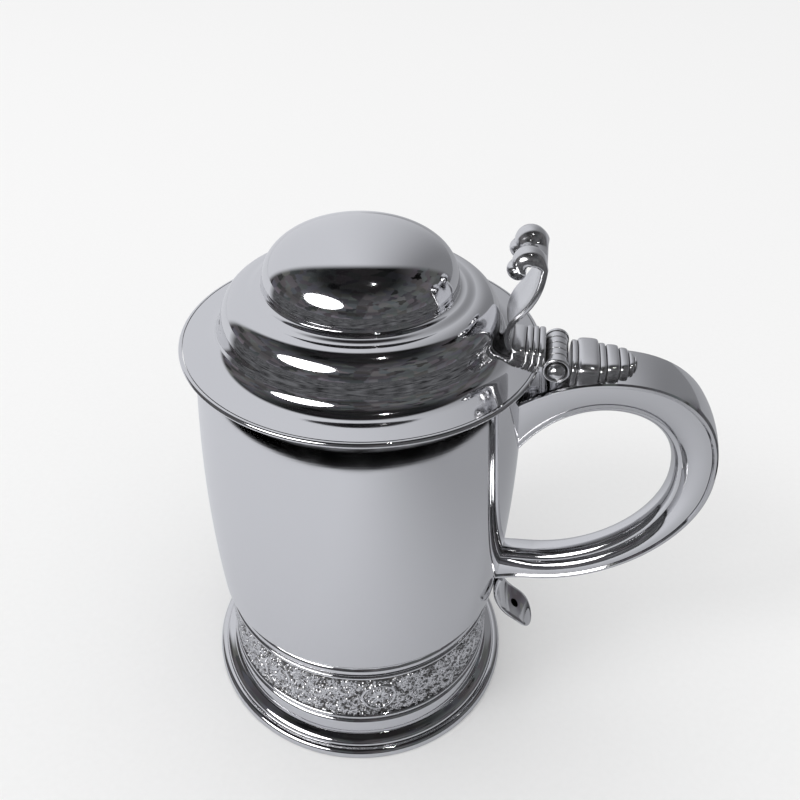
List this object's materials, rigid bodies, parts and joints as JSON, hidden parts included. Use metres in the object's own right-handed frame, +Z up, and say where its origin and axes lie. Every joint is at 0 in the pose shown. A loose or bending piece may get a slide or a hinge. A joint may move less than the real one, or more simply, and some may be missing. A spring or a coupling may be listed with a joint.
{
  "type": "lidded tankard",
  "caption": "Bellied metal drinking tankard with a moulded, ornamented foot, a strap handle, and a domed lid on a knuckle hinge worked by a scrolled thumbpiece.",
  "frame": {"origin": "centre of the foot's flat underside, on the table", "axes": "+Z up the drum's axis, +X towards the handle, +Y across the hinge"},
  "size_m": [0.1839, 0.1244, 0.1975],
  "materials": {
    "plain_metal": "mirror-polished grey-white metal",
    "ornament_metal": "polished relief over a darker, finely punched ground",
    "handle_metal": "mirror-polished",
    "lid_metal": "mirror-polished",
    "hinge_metal": "polished, with a few wear marks",
    "cast_metal": "polished casting"
  },
  "bodies": {
    "vessel": {"body_drum": "plain_metal", "mouth_wire": "plain_metal", "body_floor": "plain_metal", "foot_rim_wire": "plain_metal", "foot_base_plate": "plain_metal", "foot_flange": "plain_metal", "foot_shoulder_ring": "plain_metal", "band_lower_wire": "plain_metal", "ornament_band": "ornament_metal", "band_upper_wire": "plain_metal", "foot_neck_ring": "plain_metal", "handle_strap": "handle_metal", "handle_shell": "handle_metal", "handle_terminal": "handle_metal", "handle_rib_plate": "cast_metal", "handle_knuckle_1": "hinge_metal", "handle_knuckle_2": "hinge_metal", "handle_knuckle_3": "hinge_metal", "hinge_pin": "hinge_metal", "hinge_cap_left": "hinge_metal", "hinge_cap_right": "hinge_metal"},
    "lid": {"lid_cover": "lid_metal", "lid_rim_wire": "lid_metal", "lid_bezel": "lid_metal", "lid_rib_plate": "cast_metal", "lid_knuckle_1": "hinge_metal", "lid_knuckle_2": "hinge_metal", "thumbpiece": "cast_metal"}
  },
  "joints": [
    {"name": "lid_hinge", "type": "hinge", "parent": "vessel", "child": "lid", "pos_m": [0.0645, 0, 0.1569], "axis": [0, 1, 0], "range_deg": [0, 100]}
  ]
}
